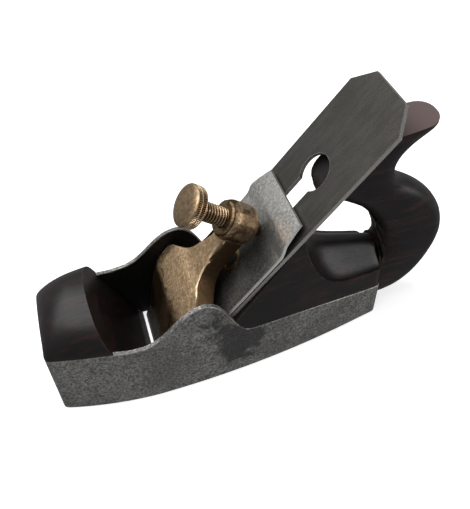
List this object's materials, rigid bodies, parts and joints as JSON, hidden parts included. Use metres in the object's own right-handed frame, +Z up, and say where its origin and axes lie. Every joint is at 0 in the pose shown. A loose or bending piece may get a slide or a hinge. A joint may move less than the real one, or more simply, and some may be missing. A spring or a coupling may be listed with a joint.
{
  "type": "infill smoothing plane",
  "caption": "Coffin-sided infill smoothing plane: steel shell, dark wood infills and open handle, slotted double iron on a steep bed, brass lever cap with a knurled thumb screw.",
  "frame": {"origin": "on the flat sole's centre line, 97 mm behind the toe", "axes": "+X from the toe to the heel, +Y to the plane's right side, +Z up from the sole"},
  "size_m": [0.2428, 0.0676, 0.1527],
  "materials": {
    "steel": "bare steel, grey and finely pitted with darker patches",
    "iron_steel": "dark grey aged tool steel",
    "cap_steel": "light grey worn steel with fine speckles",
    "brass": "aged brass, brown in the recesses and bright on the edges",
    "rosewood": "near-black polished wood with reddish streaks"
  },
  "bodies": {
    "body": {"sole_front": "steel", "sole_rear": "steel", "side_plate_left": "steel", "side_plate_right": "steel", "front_infill": "rosewood", "rear_infill": "rosewood", "tote": "rosewood", "lever_cap_pin": "steel", "front_rivet": "steel", "rear_rivet_front": "steel", "rear_rivet_back": "steel"},
    "iron": {"cutting_iron": "iron_steel"},
    "cap": {"cap_iron": "cap_steel", "cap_iron_nut": "brass"},
    "cap_screw": {"cap_iron_screw": "iron_steel"},
    "lever": {"lever_cap": "brass"},
    "tip": {"screw_tip": "brass"},
    "thumb_screw": {"lever_cap_screw": "brass"}
  },
  "joints": [
    {"name": "iron_slide", "type": "slide", "parent": "body", "child": "iron", "axis": [0.682, 0, 0.7314], "range_m": [0, 0.12]},
    {"name": "cap_slide", "type": "slide", "parent": "iron", "child": "cap", "axis": [0.682, 0, 0.7314], "range_m": [0, 0.05]},
    {"name": "cap_screw_turn", "type": "hinge", "parent": "cap", "child": "cap_screw", "pos_m": [0.01774, 0, 0.05924], "axis": [-0.7314, 0, 0.682], "range_deg": [0, 720]},
    {"name": "lever_hinge", "type": "hinge", "parent": "body", "child": "lever", "pos_m": [-0.01438, 0, 0.04093], "axis": [0, 1, 0], "range_deg": [0, 3.4]},
    {"name": "thumb_screw_advance", "type": "slide", "parent": "lever", "child": "tip", "axis": [-0.7826, 0, 0.6225], "range_m": [0, 0.0036]},
    {"name": "thumb_screw_turn", "type": "hinge", "parent": "tip", "child": "thumb_screw", "pos_m": [-0.00044, 0, 0.10479], "axis": [-0.7826, 0, 0.6225], "range_deg": [0, 720]}
  ],
  "couplings": [
    {"joint": "thumb_screw_advance", "follows": "lever_hinge", "m_per_rad": 0.058653},
    {"joint": "thumb_screw_turn", "follows": "lever_hinge", "ratio": 203.13}
  ]
}
